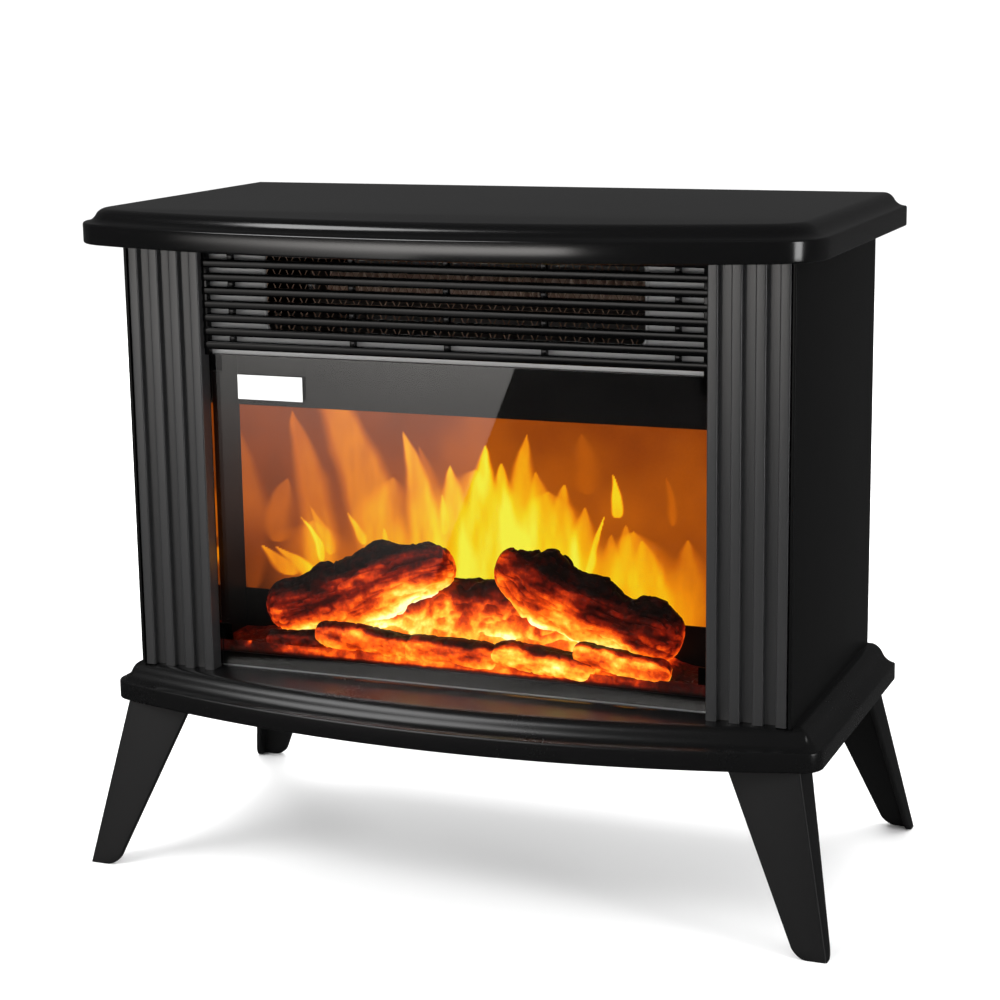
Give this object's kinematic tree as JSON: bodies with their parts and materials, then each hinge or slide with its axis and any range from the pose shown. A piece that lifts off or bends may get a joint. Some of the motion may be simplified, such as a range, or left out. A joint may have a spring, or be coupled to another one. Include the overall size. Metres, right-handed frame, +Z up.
{
  "type": "electric fireplace",
  "caption": "Table-top electric fireplace: black stove-shaped cabinet with a bowed mantel, fluted pillars, louvred heater outlet, glass front over glowing logs, and splayed legs.",
  "frame": {"origin": "on the floor, at the centre of the overall box", "axes": "+Z up, -Y to the front with the glass, +X to the right seen from the front"},
  "size_m": [0.3672, 0.218, 0.3184],
  "materials": {
    "gloss_moulding": "high gloss black moulding",
    "zinc_sheet": "bare zinc-coated sheet",
    "leg_plastic": "fine-textured black moulding",
    "satin_black": "satin black powder coat",
    "panel_black": "smooth semi-gloss black enamel",
    "firebox_black": "matt heat-proof black",
    "log_resin": "painted translucent resin with bark relief",
    "ember_resin": "translucent glowing resin",
    "flame_film": "lit translucent diffuser",
    "clear_glass": "clear toughened glass",
    "label_white": "blank white sticker",
    "grille_black": "gloss black",
    "guard_mesh": "heat-browned steel",
    "heater_steel": "plain steel",
    "fin_aluminium": "bright folded foil",
    "bright_steel": "bright steel",
    "fan_plastic": "black moulding",
    "bearing_brass": "turned brass",
    "motor_iron": "varnished laminations",
    "reflector_foil": "crinkled mirror foil",
    "circuit_board": "solder resist",
    "terminal_plastic": "natural moulding",
    "control_plastic": "fine-textured black moulding",
    "switch_plastic": "black moulding",
    "rocker_plastic": "polished black moulding",
    "wire_jacket": "silicone insulation",
    "black_screw": "black oxide"
  },
  "bodies": {
    "cabinet": {"base_plinth": "gloss_moulding", "bed_rail": "firebox_black", "blank_label": "label_white", "blower_bearing": "bearing_brass", "blower_housing": "zinc_sheet", "blower_motor": "motor_iron", "bottom_cover": "zinc_sheet", "bottom_plate": "zinc_sheet", "cable_gland": "switch_plastic", "control_plate": "control_plastic", "driver_board": "circuit_board", "ember_bed": "ember_resin", "firebox_cheeks": "firebox_black", "firebox_header": "firebox_black", "firebox_ledge": "firebox_black", "flame_screen": "flame_film", "flame_switch_body": "switch_plastic", "front_grille": "grille_black", "gland_nut": "switch_plastic", "glass_clips": "firebox_black", "glass_pane": "clear_glass", "grille_back_plate": "grille_black", "heat_switch_body": "switch_plastic", "heater_deck": "zinc_sheet", "heater_fins": "fin_aluminium", "heater_frame": "heater_steel", "heater_guard": "guard_mesh", "internal_wires": "wire_jacket", "led_boards": "circuit_board", "leg_front_left": "leg_plastic", "leg_front_right": "leg_plastic", "leg_rear_left": "leg_plastic", "leg_rear_right": "leg_plastic", "log_left": "log_resin", "log_right": "log_resin", "long_screws": "bright_steel", "mantel_top": "gloss_moulding", "pillar_left": "satin_black", "pillar_right": "satin_black", "rear_cover": "panel_black", "short_screws": "black_screw", "side_panel_left": "panel_black", "side_panel_right": "panel_black", "small_logs": "log_resin", "spindle_brackets": "zinc_sheet", "spindle_motor": "motor_iron", "terminal_block": "terminal_plastic", "thermal_cutout": "bright_steel", "thermostat_body": "terminal_plastic", "tilt_switch_housing": "terminal_plastic", "top_plate": "zinc_sheet"},
    "knob": {"thermostat_knob": "control_plastic", "thermostat_shaft": "bright_steel"},
    "flame_rocker": {"flame_switch_rocker": "rocker_plastic"},
    "heat_rocker": {"heat_switch_rocker": "rocker_plastic"},
    "blower_rotor": {"blower_wheel": "fan_plastic", "blower_shaft": "bright_steel"},
    "flame_spindle": {"spindle_rod": "bright_steel", "flame_reflectors": "reflector_foil"},
    "pendulum": {"tilt_pendulum": "bearing_brass"}
  },
  "joints": [
    {"name": "knob_turn", "type": "hinge", "parent": "cabinet", "child": "knob", "pos_m": [0.074, 0.094, 0.1896], "axis": [0, -1, 0], "range_deg": [0, 270]},
    {"name": "flame_switch", "type": "hinge", "parent": "cabinet", "child": "flame_rocker", "pos_m": [0.104, 0.0951, 0.1896], "axis": [1, 0, 0], "range_deg": [0, 16]},
    {"name": "heat_switch", "type": "hinge", "parent": "cabinet", "child": "heat_rocker", "pos_m": [0.124, 0.0951, 0.1896], "axis": [1, 0, 0], "range_deg": [0, 16]},
    {"name": "blower_spin", "type": "hinge", "parent": "cabinet", "child": "blower_rotor", "pos_m": [0.014, 0.0166, 0.2737], "axis": [1, 0, 0], "continuous": true},
    {"name": "spindle_spin", "type": "hinge", "parent": "cabinet", "child": "flame_spindle", "pos_m": [0, 0.023, 0.1446], "axis": [1, 0, 0], "continuous": true},
    {"name": "tilt_swing", "type": "hinge", "parent": "cabinet", "child": "pendulum", "pos_m": [0.1334, 0.0572, 0.1276], "axis": [0, 1, 0], "range_deg": [-14, 14]}
  ]
}
